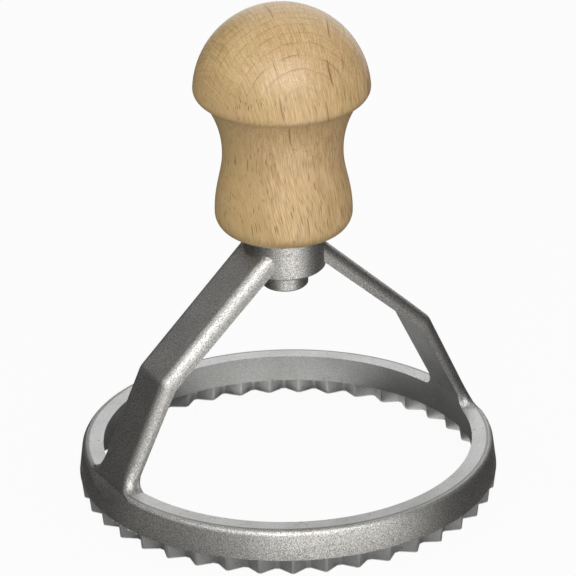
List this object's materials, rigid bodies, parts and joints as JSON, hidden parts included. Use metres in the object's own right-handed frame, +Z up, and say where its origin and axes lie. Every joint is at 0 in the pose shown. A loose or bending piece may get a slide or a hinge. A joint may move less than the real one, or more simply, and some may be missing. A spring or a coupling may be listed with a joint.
{
  "type": "ravioli stamp",
  "caption": "Round dough stamp: a zigzag-edged cutting ring on a two-armed cast bridge, pressed down by a turned wooden knob handle.",
  "frame": {"origin": "middle of the ring, level with the cutting edge that the stamp stands on", "axes": "+Z up the handle's axis, +X along the bridge from arm to arm"},
  "size_m": [0.0968, 0.0968, 0.1181],
  "materials": {
    "cast_aluminium": "as cast with a fine grain, ring top and bore smooth",
    "beech": "turned and sanded, satin",
    "screw_steel": "bright zinc"
  },
  "bodies": {
    "root": {"cutter_frame": "cast_aluminium", "handle": "beech", "handle_screw": "screw_steel"}
  },
  "joints": []
}
